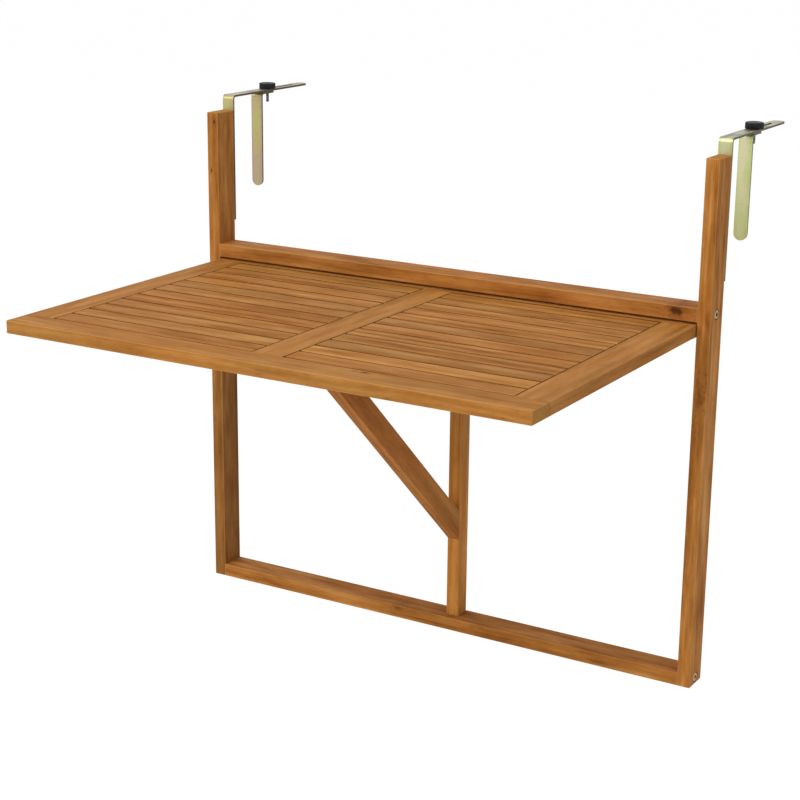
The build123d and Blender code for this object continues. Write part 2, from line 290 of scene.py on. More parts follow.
@dataclass(frozen=True)
class Knot:
    """A knot or smudge that shows on the face of a board.

    Attributes:
        place: The knot's middle in the table's frame, in metres.
        radius: The radius of its dark core across the grain, in metres.
        length: How many times longer the core is along the grain.
        dark: How dark its core is.
        upright: Whether it shows on an upper face and not on a front face.
    """

    place: Triple
    radius: float
    length: float = 1.4
    dark: float = 0.9
    upright: bool = False

    def weights(self) -> Triple:
        """Returns how much a distance counts along each of the board's own axes."""
        return (1.0 / self.length, float(self.upright), float(not self.upright))

    def within(self, bench: ShaderBench, distance: Feed, reach: Span, amount: float) -> bpy.types.NodeSocket:
        """Lets an amount grow towards the knot's middle.

        Args:
            bench: The material in work.
            distance: The distance from the knot.
            reach: Where the amount starts and where it is full, in radii of the knot.
            amount: The full amount.

        Returns:
            The amount at that distance.
        """
        far, near = (share * self.radius for share in reach)
        return bench.stretch(distance, far, near, 0.0, amount)


@dataclass(frozen=True)
class Board:
    """A piece of timber: where it lies, how its grain runs and how it differs from the others.

    Attributes:
        node: The CAD node that it dresses.
        grain: The direction of its grain.
        knots: The knots that show on it.
        tone: How light the board is beside the others.
        red: How much its colour leans from yellow to red.
        gap_faces: Where its faces point that lie in the gaps of the top, which are darkened as painted shade.
        fade: How light the board's first third and its last third are along the grain.
        strength: How strongly the figure shows.
        tenon: The length of the tenons hidden at its ends, in metres.
        trunk: Which trunk it was cut from, where its figure needs another than its name gives.
        gap_shade: How dark the painted shade on its faces in the gaps is.
        wear_and_highlight: How much its pale edges show: worn, and with a painted highlight where the rounded arris
            catches light.
    """

    node: str
    grain: Triple
    knots: tuple[Knot, ...] = ()
    tone: float = 1.0
    red: float = 0.0
    gap_faces: tuple[Triple, ...] = ()
    fade: Span = (1.0, 1.0)
    strength: float = 1.0
    tenon: float = 0.0
    trunk: str = ""
    gap_shade: float = 0.72
    wear_and_highlight: float = 0.60

    def along(self) -> Vector:
        """Returns the unit vector of the grain."""
        return Vector(self.grain).normalized()

    def centre(self) -> Vector:
        """Returns the middle of the board's box."""
        low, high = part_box(self.node)
        return (low + high) / 2

    def turn(self) -> Euler:
        """Returns the rotation from the board's own axes, X along the grain, to the table's."""
        x, y, z = self.along()
        return Euler((0.0, -math.asin(z), math.atan2(y, x)))

    def to_own(self) -> Matrix:
        """Returns the rotation from the table's axes to the board's own."""
        return self.turn().to_matrix().transposed()

    def half_sizes(self) -> Vector:
        """Measures the board along its own axes.

        Returns:
            Half its length, width and thickness.
        """
        to_own, middle = self.to_own(), self.centre()
        corners = [to_own @ (vertex.co - middle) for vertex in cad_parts[self.node].data.vertices]
        return Vector(max(abs(corner[axis]) for corner in corners) for axis in range(3))


@dataclass(frozen=True)
class OiledTimber:
    """Oiled hardwood with straight, streaky grain, open pores, darker end grain, worn edges with a painted highlight,
    and painted shade in gaps.

    Attributes:
        stops: The colours from the dark late wood to the pale early wood.
        knot_colour: The colour of pores and of a knot's core.
        halo_colour: The colour of the wood round a knot.
        gap_colour: The colour that faces in the gaps darken to as painted shade, and the colour of the seam lines.
        end_colour: The colour of the end grain.
        wear_and_highlight_colour: The colour of the pale edges: worn wood, and a painted highlight.
        warm_tint: What the redder stretches of a board are multiplied by.
        red_lean: What each step to red adds to the share of red, green and blue.
        contrast: The part of the figure's range that spans all the colours.
        ring_rate: Growth bands per metre across the grain.
        ring_detail: Finer bands within the growth bands.
        wander: How far the bands stray, in metres.
        pith_reach: How near and how far from the board's middle the trunk's heart lay, in metres.
        band_share: How much of the figure the growth bands make.
        streak_share: How much of it the long streaks make.
        cloud_share: How much of it the soft clouds make.
        fibre_share: How much of it the fibres make.
        stray: How the bands stray.
        streaks: The long streaks.
        clouds: The soft clouds.
        fibres: The fibres.
        warmth: Where a board is redder.
        pores: The open pores.
        ragged: How a knot's outline is drawn in and out.
        pore_shade: How dark the pores are.
        halo_reach: Where a knot's halo starts and is full, in radii of the knot.
        halo_share: How strong the halo is beside the core.
        core_reach: Where a knot's core starts and is full, in radii.
        swell_reach: Where the bands start to flow round a knot and do so fully, in radii.
        swell: How far they are pushed out, in radii.
        end_shade: How much of the end grain's own colour shows.
        face_turn: How closely a face has to point along a direction to count, from barely to fully.
        wear_and_highlight_width: How wide the pale edges, worn and with a painted highlight, are, in metres.
        seam: How dark the line is where a tenoned rail meets the next.
        seam_width: How wide that line is, in metres.
        roughness: The roughness of the darkest and of the palest wood.
        end_roughness: How much rougher end grain and faces in the gaps are.
        relief: The depth of pores and fibres, in metres.
        relief_shown: How much of that relief shows.
        pore_relief: How deep the pores are beside the fibres.
        band_relief: How high the growth bands stand beside them.
        arris: The radius that sharp edges look rounded by, in metres.
        sheen: How strongly the oiled face reflects.
    """

    stops: Stops = (
        (0.0, (0.205, 0.070, 0.012)),
        (0.32, (0.337, 0.131, 0.024)),
        (0.64, (0.441, 0.187, 0.041)),
        (1.0, (0.560, 0.264, 0.074)),
    )
    knot_colour: Colour = (0.060, 0.020, 0.007)
    halo_colour: Colour = (0.240, 0.072, 0.012)
    gap_colour: Colour = (0.060, 0.016, 0.001)
    end_colour: Colour = (0.430, 0.225, 0.060)
    wear_and_highlight_colour: Colour = (0.600, 0.300, 0.095)
    warm_tint: Colour = (1.0, 0.84, 0.62)
    red_lean: Colour = (0.04, -0.05, -0.12)
    contrast: Span = (0.30, 0.70)
    ring_rate: float = 150.0
    ring_detail: float = 3.0
    wander: float = 0.020
    pith_reach: Span = (0.05, 0.13)
    band_share: float = 0.18
    streak_share: float = 0.26
    cloud_share: float = 0.45
    fibre_share: float = 0.11
    stray: Mottle = Mottle((4.0, 15.0, 15.0))
    streaks: Mottle = Mottle((4.0, 80.0, 80.0), 3.0)
    clouds: Mottle = Mottle((9.0, 44.0, 44.0), 3.0, 0.6)
    fibres: Mottle = Mottle((11.0, 620.0, 620.0))
    warmth: Mottle = Mottle((2.4, 26.0, 26.0), span=(0.38, 0.66), to=(0.0, 0.6))
    pores: Mottle = Mottle((70.0, 1500.0, 1500.0), 1.0, span=(0.60, 0.70))
    ragged: Mottle = Mottle((160.0, 160.0, 160.0), span=(0.3, 0.7), to=(0.7, 1.4))
    pore_shade: float = 0.30
    halo_reach: Span = (2.6, 0.8)
    halo_share: float = 0.67
    core_reach: Span = (1.1, 0.4)
    swell_reach: Span = (3.6, 0.2)
    swell: float = 2.4
    end_shade: float = 0.60
    face_turn: Span = (0.80, 0.95)
    wear_and_highlight_width: float = 1.6 * MM
    seam: float = 0.70
    seam_width: float = 2.2 * MM
    roughness: Span = (0.66, 0.52)
    end_roughness: float = 0.24
    relief: float = 0.25 * MM
    relief_shown: float = 0.5
    pore_relief: float = -0.8
    band_relief: float = 0.5
    arris: float = 0.5 * MM
    sheen: float = 0.07

    def toned(self, board: Board) -> list[tuple[float, Colour]]:
        """Shifts the colours to one board's tone.

        Args:
            board: The board to colour.

        Returns:
            The board's own colour stops.
        """
        lean = [1.0 + share * board.red for share in self.red_lean]
        return [(at, tuple(c * board.tone * k for c, k in zip(colour, lean))) for at, colour in self.stops]

    def material(self, board: Board) -> bpy.types.Material:
        """Makes the finish of one board, cut from its own place in the trunk.

        Args:
            board: The board to dress.

        Returns:
            The board's material.
        """
        bench = ShaderBench("oiled_" + board.node)
        draw = random.Random(board.node + board.trunk)
        source = bench.coordinates()
        inputs = {"Vector": source.outputs["Object"], "Location": board.centre(), "Rotation": board.turn()}
        own = bench.node("Mapping", inputs, vector_type="TEXTURE").outputs[0]
        cut = bench.vector("ADD", own, tuple(draw.uniform(-20.0, 20.0) for _ in range(3)))

        knots = [self.knot_distance(bench, own, cut, board, knot) for knot in board.knots]
        bands = self.bands(bench, own, cut, knots, board, draw)
        fibres = bench.noise(cut, self.fibres)
        figure = self.figure(bench, cut, bands, fibres, board)
        pores = bench.noise(cut, self.pores)
        ends = self.facing(bench, source.outputs["Normal"], [board.along(), -board.along()])

        colour = self.faded(bench, bench.ramp(figure, self.toned(board)), own, board)
        colour = bench.mix(bench.noise(cut, self.warmth), colour, self.warm_tint, "MULTIPLY")
        colour = bench.mix(bench.calc("MULTIPLY", pores, self.pore_shade), colour, self.knot_colour)
        for knot, distance in zip(board.knots, knots):
            halo = knot.within(bench, distance, self.halo_reach, self.halo_share * knot.dark)
            core = knot.within(bench, distance, self.core_reach, knot.dark)
            colour = bench.mix(core, bench.mix(halo, colour, self.halo_colour), self.knot_colour)
        colour = bench.mix(bench.calc("MULTIPLY", ends, self.end_shade), colour, self.end_colour)
        if board.tenon:
            along = bench.axes(bench.vector("ABSOLUTE", own))["X"]
            shoulder = board.half_sizes().x - board.tenon
            seam = bench.stretch(along, shoulder - self.seam_width, shoulder, 0.0, self.seam)
            colour = bench.mix(seam, colour, self.gap_colour)
        # Edges turn paler: worn wood, and a painted highlight where the rounded arris catches light.
        edges = self.edges(bench, own, board)
        colour = bench.mix(bench.calc("MULTIPLY", edges, board.wear_and_highlight), colour, self.wear_and_highlight_colour)
        # Faces in the gaps of the top are darkened towards gap_colour: painted shade.
        if board.gap_faces:
            gaps = self.facing(bench, source.outputs["Normal"], [Vector(face) for face in board.gap_faces])
            colour = bench.mix(bench.calc("MULTIPLY", gaps, board.gap_shade), colour, self.gap_colour)
            ends = bench.calc("MAXIMUM", ends, gaps)

        rough = bench.stretch(figure, 0.0, 1.0, *self.roughness)
        rough = bench.calc("MULTIPLY_ADD", ends, self.end_roughness, rough)
        height = bench.calc("MULTIPLY_ADD", pores, self.pore_relief, fibres)
        height = bench.calc("MULTIPLY_ADD", bands, self.band_relief, height)
        normal = bench.bump(height, self.relief, self.relief_shown, self.arris)
        inputs = {"Base Color": colour, "Roughness": rough, "Normal": normal, "Specular IOR Level": self.sheen}
        return bench.principled(inputs)

    def faded(self, bench: ShaderBench, colour: Feed, own: Feed, board: Board) -> bpy.types.NodeSocket:
        """Lets the colour change along the board from its first third to its last.

        Args:
            bench: The material in work.
            colour: The colour so far.
            own: The place on the board's own axes.
            board: The board to dress.

        Returns:
            The colour, lighter or darker towards the board's ends.
        """
        if board.fade == (1.0, 1.0):
            return colour
        third = board.half_sizes().x / 3
        level = bench.stretch(bench.axes(own)["X"], -third, third, *board.fade)
        return bench.node("VectorMath", {0: colour, "Scale": level}, operation="SCALE").outputs["Vector"]

    def figure(
        self, bench: ShaderBench, cut: Feed, bands: Feed, fibres: Feed, board: Board
    ) -> bpy.types.NodeSocket:
        """Adds long streaks, soft clouds and fibres to the growth bands.

        Args:
            bench: The material in work.
            cut: The place in the trunk.
            bands: The growth bands.
            fibres: The fibres.
            board: The board to dress.

        Returns:
            The figure, from dark at 0 to pale at 1.
        """
        streaks, clouds = bench.noise(cut, self.streaks), bench.noise(cut, self.clouds)
        layers = ((streaks, self.streak_share), (clouds, self.cloud_share), (fibres, self.fibre_share))
        total = bench.calc("MULTIPLY", bands, self.band_share)
        for layer, share in layers:
            total = bench.calc("MULTIPLY_ADD", layer, share, total)
        low, high = (0.5 + (end - 0.5) / board.strength for end in self.contrast)
        return bench.node("MapRange", {"Value": total, "From Min": low, "From Max": high}).outputs["Result"]

    def knot_distance(
        self, bench: ShaderBench, own: Feed, cut: Feed, board: Board, knot: Knot
    ) -> bpy.types.NodeSocket:
        """Measures how far a point is from a knot, whose outline is drawn out along the grain.

        Args:
            bench: The material in work.
            own: The place on the board's own axes.
            cut: The place in the trunk.
            board: The board that has the knot.
            knot: The knot.

        Returns:
            The distance across the grain, in metres.
        """
        middle = board.to_own() @ (Vector(knot.place) - board.centre())
        offset = bench.vector("MULTIPLY", bench.vector("SUBTRACT", own, middle), knot.weights())
        return bench.calc("MULTIPLY", bench.length(offset), bench.noise(cut, self.ragged))

    def bands(
        self,
        bench: ShaderBench,
        own: Feed,
        cut: Feed,
        knots: Sequence[bpy.types.NodeSocket],
        board: Board,
        draw: random.Random,
    ) -> bpy.types.NodeSocket:
        """Makes the growth bands: uneven rings about the trunk's heart, which stray and flow round knots.

        Args:
            bench: The material in work.
            own: The place on the board's own axes.
            cut: The place in the trunk.
            knots: The distance from each knot.
            board: The board to dress.
            draw: The board's own random numbers.

        Returns:
            The bands, from dark at 0 to pale at 1.
        """
        angle = draw.uniform(0.0, FULL_TURN)
        reach = draw.uniform(*self.pith_reach)
        heart = (0.0, reach * math.cos(angle), reach * math.sin(angle))
        across = bench.vector("MULTIPLY_ADD", own, (0.0, 1.0, 1.0), heart)
        stray = bench.calc("SUBTRACT", bench.noise(cut, self.stray), 0.5)
        radius = bench.calc("MULTIPLY_ADD", stray, self.wander, bench.length(across))
        for knot, distance in zip(board.knots, knots):
            swell = knot.within(bench, distance, self.swell_reach, self.swell * knot.radius)
            radius = bench.calc("ADD", radius, swell)
        place = bench.calc("ADD", radius, draw.uniform(0.0, 9.0))
        inputs = {"W": place, "Scale": self.ring_rate, "Detail": self.ring_detail}
        return bench.node("TexNoise", inputs, noise_dimensions="1D").outputs["Fac"]

    def facing(self, bench: ShaderBench, normal: Feed, directions: Sequence[Vector]) -> bpy.types.NodeSocket:
        """Finds the faces that point along one of some directions.

        Args:
            bench: The material in work.
            normal: The surface's direction in the table's frame.
            directions: The directions to look for.

        Returns:
            1 on such faces and 0 on the others.
        """
        best = bench.dot(normal, directions[0])
        for direction in directions[1:]:
            best = bench.calc("MAXIMUM", best, bench.dot(normal, direction))
        return bench.stretch(best, *self.face_turn)

    def edges(self, bench: ShaderBench, own: Feed, board: Board) -> bpy.types.NodeSocket:
        """Finds the board's edges, where two of its faces meet.

        Args:
            bench: The material in work.
            own: The place on the board's own axes.
            board: The board to dress.

        Returns:
            1 at the edges, fading to 0 within the width of their worn, highlighted edge.
        """
        axes = bench.axes(bench.vector("ABSOLUTE", own))
        half = board.half_sizes()
        length, width, thickness = (
            bench.stretch(axes[axis], half[axis] - self.wear_and_highlight_width, half[axis]) for axis in range(3)
        )
        sides = bench.calc("MULTIPLY", width, thickness)
        ends = bench.calc("MULTIPLY", length, bench.calc("MAXIMUM", width, thickness))
        return bench.calc("MAXIMUM", sides, ends)


@dataclass(frozen=True)
class YellowZinc:
    """Yellow-passivated zinc on flat steel: a thin rainbow film over fine rolling lines, with near-black side faces.

    Attributes:
        level: How light the plating is.
        thickness: How thick the film is along the strap's middle, on the scale of the film's colours.
        thinning: How much thinner it is at the lowest point.
        rim: How much thinner it is along the strap's long edges.
        rim_start: Where that thinning starts, as a share of the strap's half width.
        film: The film's colours, from thin at the strap's rim to thick.
        edge_colour: The near-black colour of the side faces and of the spots.
        edge_turn: How squarely a face has to point sideways to be an edge, from barely to fully.
        edge_shade: How much of the edges' colour shows.
        upper_pale: The paler colour of the upper faces.
        upper_dark: Their darker colour, in patches.
        upper_turn: How squarely a face has to point up to be an upper face, from barely to fully.
        upper_shade: How much of the upper faces' colours shows.
        drift: How the film's thickness drifts.
        lines: The rolling lines.
        spots: The dull spots.
        upper_mottle: Where the upper faces take the darker colour.
        spot_shade: How dark the spots are.
        spot_roughness: How much the spots count in the roughness beside the lines.
        rough_span: The range of both that spans all the roughness.
        roughness: The least and the most roughness.
        relief: The depth of the rolling lines, in metres.
        relief_shown: How much of that relief shows.
        arris: The radius that sharp edges look rounded by, in metres.
    """

    level: float = 1.0
    thickness: float = 0.5
    thinning: float = 0.0
    rim: float = 0.40
    rim_start: float = 0.35
    film: Stops = (
        (0.0, (0.50, 0.36, 0.27)),
        (0.25, (0.52, 0.42, 0.22)),
        (0.50, (0.50, 0.46, 0.17)),
        (0.75, (0.46, 0.53, 0.25)),
        (1.0, (0.57, 0.55, 0.34)),
    )
    edge_colour: Colour = (0.060, 0.044, 0.028)
    edge_turn: Span = (0.6, 0.9)
    edge_shade: float = 0.92
    upper_pale: Colour = (0.44, 0.39, 0.32)
    upper_dark: Colour = (0.15, 0.11, 0.07)
    upper_turn: Span = (0.5, 0.95)
    upper_shade: float = 0.75
    drift: Mottle = Mottle((45.0, 30.0, 12.0), 3.0, 0.6, span=(0.25, 0.75), to=(-0.24, 0.24))
    lines: Mottle = Mottle((2600.0, 60.0, 60.0))
    spots: Mottle = Mottle((420.0, 420.0, 420.0), span=(0.60, 0.75))
    upper_mottle: Mottle = Mottle((90.0, 22.0, 22.0), span=(0.40, 0.62))
    spot_shade: float = 0.25
    spot_roughness: float = 0.4
    rough_span: Span = (0.3, 0.9)
    roughness: Span = (0.36, 0.55)
    relief: float = 0.04 * MM
    relief_shown: float = 0.5
    arris: float = 0.4 * MM

    def material(self, name: str) -> bpy.types.Material:
        """Makes the finish of one plated strap.

        Args:
            name: The CAD node that it dresses.

        Returns:
            The strap's material.
        """
        bench = ShaderBench("zinc_" + name)
        draw = random.Random(name)
        low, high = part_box(name)
        half, rise = (high.x - low.x) / 2, (high.z - low.z) / 2
        source = bench.coordinates()
        normal = source.outputs["Normal"]
        own = bench.vector("SUBTRACT", source.outputs["Object"], (low + high) / 2)
        place = bench.vector("ADD", own, tuple(draw.uniform(-9.0, 9.0) for _ in range(3)))
        axes = bench.axes(own)

        film = bench.stretch(axes["Z"], -rise, rise, self.thickness - self.thinning, self.thickness)
        film = bench.calc("ADD", film, bench.noise(place, self.drift))
        across = bench.calc("ABSOLUTE", axes["X"])
        film = bench.calc("ADD", film, bench.stretch(across, self.rim_start * half, half, 0.0, -self.rim))
        colour = bench.ramp(film, [(at, tuple(self.level * c for c in shade)) for at, shade in self.film])

        # Upper faces, picked by their direction, take a paler and a darker colour in patches.
        upper = bench.mix(bench.noise(place, self.upper_mottle), self.upper_pale, self.upper_dark)
        lifted = bench.stretch(bench.dot(normal, UPWARDS), *self.upper_turn, 0.0, self.upper_shade)
        colour = bench.mix(lifted, colour, upper)
        # Faces that point sideways, picked by their direction, are darkened to near black.
        sides = bench.calc("ABSOLUTE", bench.dot(normal, RIGHTWARDS))
        sides = bench.stretch(sides, *self.edge_turn, 0.0, self.edge_shade)
        colour = bench.mix(sides, colour, self.edge_colour)
        spots = bench.noise(place, self.spots)
        colour = bench.mix(bench.calc("MULTIPLY", spots, self.spot_shade), colour, self.edge_colour)

        lines = bench.noise(place, self.lines)
        rough = bench.calc("MULTIPLY_ADD", spots, self.spot_roughness, lines)
        rough = bench.stretch(rough, *self.rough_span, *self.roughness)
        bumped = bench.bump(lines, self.relief, self.relief_shown, self.arris)
        return bench.principled({"Base Color": colour, "Metallic": 1.0, "Roughness": rough, "Normal": bumped})


@dataclass(frozen=True)
class BrightSteel:
    """Zinc-plated fasteners: pale metal with a faint warm cast, turning marks, dulled patches and a near-black
    painted shade in the recess.

    Attributes:
        bright: The colour of the clean metal.
        dull: The colour of the dulled patches.
        painted_recess_shade: The near-black painted shade of the driving recess, where little light comes back.
        painted_recess_shade_patches: The darker patches of that painted shade.
        patches: The dulled patches.
        marks: The turning marks.
        patch_roughness: How much the patches count in the roughness beside the marks.
        rough_span: The range of both that spans all the roughness.
        roughness: The least and the most roughness.
        relief: The depth of the turning marks, in metres.
        relief_shown: How much of that relief shows.
        arris: The radius that sharp edges look rounded by, in metres.
    """

    bright: Colour = (0.78, 0.67, 0.54)
    dull: Colour = (0.46, 0.38, 0.29)
    painted_recess_shade: Colour = (0.022, 0.014, 0.008)
    painted_recess_shade_patches: Colour = (0.009, 0.006, 0.004)
    patches: Mottle = Mottle((240.0, 240.0, 240.0), 3.0, span=(0.40, 0.68))
    marks: Mottle = Mottle((3000.0, 3000.0, 3000.0), 1.0)
    patch_roughness: float = 0.5
    rough_span: Span = (0.3, 1.1)
    roughness: Span = (0.28, 0.50)
    relief: float = 0.02 * MM
    relief_shown: float = 0.4
    arris: float = 0.2 * MM

    def material(self, name: str) -> bpy.types.Material:
        """Returns the finish of one kind of fastener."""
        return self.plated("steel_" + name, self.bright, self.dull)

    def recess(self, name: str) -> bpy.types.Material:
        """Returns the near-black painted shade of the fastener's driving recess."""
        return self.plated("recess_" + name, self.painted_recess_shade, self.painted_recess_shade_patches)

    def plated(self, name: str, clean: Colour, dull_and_shade_colour: Colour) -> bpy.types.Material:
        """Makes a plated finish with dulled patches; in the driving recess it is a near-black painted shade.

        Args:
            name: The material's name.
            clean: The main colour: the clean metal's, and in the recess a near-black painted shade.
            dull_and_shade_colour: The colour of the patches: dulled metal, and in the recess darker painted shade.

        Returns:
            The material.
        """
        bench = ShaderBench(name)
        place = bench.coordinates().outputs["Object"]
        patches, marks = bench.noise(place, self.patches), bench.noise(place, self.marks)
        colour = bench.mix(patches, clean, dull_and_shade_colour)
        rough = bench.calc("MULTIPLY_ADD", patches, self.patch_roughness, marks)
        rough = bench.stretch(rough, *self.rough_span, *self.roughness)
        normal = bench.bump(marks, self.relief, self.relief_shown, self.arris)
        return bench.principled({"Base Color": colour, "Metallic": 1.0, "Roughness": rough, "Normal": normal})


@dataclass(frozen=True)
class BlackPlastic:
    """Moulded black plastic with a fine matt texture and ridges rubbed a little paler.

    Attributes:
        deep: The colour in the grooves.
        rubbed: The colour where hands rub it.
        rubs: Where hands rub it.
        grit: The fine moulded texture.
        roughness: The roughness of the deep and of the rubbed places.
        relief: The depth of the texture, in metres.
        relief_shown: How much of that relief shows.
        arris: The radius that sharp edges look rounded by, in metres.
        sheen: How strongly the moulded face reflects.
    """

    deep: Colour = (0.006, 0.006, 0.008)
    rubbed: Colour = (0.015, 0.016, 0.020)
    rubs: Mottle = Mottle((150.0, 150.0, 150.0), 3.0, span=(0.35, 0.70))
    grit: Mottle = Mottle((2400.0, 2400.0, 2400.0), 1.0)
    roughness: Span = (0.36, 0.52)
    relief: float = 0.06 * MM
    relief_shown: float = 0.5
    arris: float = 0.3 * MM
    sheen: float = 0.22

    def material(self, name: str) -> bpy.types.Material:
        """Makes the finish of one knob.

        Args:
            name: The CAD node of the knob.

        Returns:
            The knob's material.
        """
        bench = ShaderBench("plastic_" + name)
        place = bench.coordinates().outputs["Object"]
        rubs = bench.noise(place, self.rubs)
        colour = bench.mix(rubs, self.deep, self.rubbed)
        rough = bench.stretch(rubs, 0.0, 1.0, *self.roughness)
        normal = bench.bump(bench.noise(place, self.grit), self.relief, self.relief_shown, self.arris)
        inputs = {"Base Color": colour, "Roughness": rough, "Normal": normal, "Specular IOR Level": self.sheen}
        return bench.principled(inputs)


@dataclass(frozen=True)
class Ring:
    """One level of a turned piece.

    Attributes:
        height: The level along the piece's axis, in metres.
        outline: The radius at each angle, in metres.
    """

    height: float
    outline: Outline


def round_ring(height: float, radius: float) -> Ring:
    """Returns a circular level of a turned piece."""
    return Ring(height, lambda angle: radius)


def scaled(outline: Outline, share: float) -> Outline:
    """Returns an outline drawn in to a share of its size."""
    return lambda angle: share * outline(angle)


def hexagon(apothem: float) -> Outline:
    """Returns the outline of a hexagon by the distance to its flats."""
    return lambda angle: apothem / math.cos((angle + math.pi / 6) % (math.pi / 3) - math.pi / 6)


def cross(reach: float, half_width: float) -> Outline:
    """Makes the outline of a cross-shaped recess.

    Args:
        reach: How far each arm reaches.
        half_width: Half an arm's width.

    Returns:
        The radius at each angle.
    """

    def outline(angle: float) -> float:
        """Finds the radius of the cross.

        Args:
            angle: The angle about the axis.

        Returns:
            The radius at that angle.
        """
        off = abs((angle + math.pi / 4) % (math.pi / 2) - math.pi / 4)
        if math.tan(off) * reach < half_width:
            return reach / math.cos(off)
        return half_width / math.sin(off)

    return outline


def turned(
    name: str, rings: Sequence[Ring], segments: int, place: Matrix, sharp_deg: float = 35.0, recess: int = 0
) -> bpy.types.Object:
    """Builds a closed mesh through a row of rings, each end drawn to a point on the axis.

    Args:
        name: The piece's name.
        rings: The levels from one end to the other.
        segments: Faces round the axis.
        place: Where the piece's own axes lie in the table's frame.
        sharp_deg: Edges that turn by more than this stay sharp.
        recess: How many of the first levels lie in a driving recess, which takes the second finish, a near-black
            painted shade.

    Returns:
        The new object.
    """
    angles = [FULL_TURN * step / segments for step in range(segments)]
    points = [Vector((0.0, 0.0, rings[0].height))]
    for ring in rings:
        for angle in angles:
            radius = ring.outline(angle)
            points.append(Vector((radius * math.cos(angle), radius * math.sin(angle), ring.height)))
    points.append(Vector((0.0, 0.0, rings[-1].height)))
    faces = []
    last = len(points) - 1
    for step in range(segments):
        follow = (step + 1) % segments
        faces.append((0, 1 + follow, 1 + step))
        for level in range(len(rings) - 1):
            low, high = 1 + level * segments, 1 + (level + 1) * segments
            faces.append((low + step, low + follow, high + follow, high + step))
        top = 1 + (len(rings) - 1) * segments
        faces.append((top + step, top + follow, last))
    mesh = bpy.data.meshes.new(name)
    mesh.from_pydata([place @ point for point in points], [], faces)
    mesh.polygons.foreach_set("use_smooth", [True] * len(mesh.polygons))
    per_step = len(rings) + 1
    mesh.polygons.foreach_set("material_index", [int(n % per_step < recess) for n in range(len(faces))])
    mesh.set_sharp_from_angle(angle=math.radians(sharp_deg))
    made = bpy.data.objects.new(name, mesh)
    bpy.context.scene.collection.objects.link(made)
    return made


def facing(place: Vector, direction: Triple) -> Matrix:
    """Returns the place of a turned piece whose axis points along a direction."""
    return Matrix.Translation(place) @ Vector(direction).to_track_quat("Z", "Y").to_matrix().to_4x4()


def stand_in(piece: bpy.types.Object, node: str, body: str, slot: Slot, *materials: bpy.types.Material) -> None:
    """Puts a new piece in a CAD node's place.

    Args:
        piece: The piece that is shown.
        node: The node that it stands for.
        body: The body that it rides on.
        slot: The slot of its finish; not used.
        *materials: Its finish, and the painted shade of its driving recess if it has one.
    """
    for material in materials:
        piece.data.materials.append(material)
    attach(piece, body)
    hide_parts(node)
    log.info("piece %s stands for %s on %s", piece.name, node, body)


def dress(node: str, material: bpy.types.Material) -> None:
    """Gives a CAD node its finish.

    Args:
        node: The node that keeps its own shape.
        material: Its finish.
    """
    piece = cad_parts[node]
    piece.material_slots[0].material = material
    log.info("node %s dressed in %s", node, material.name)


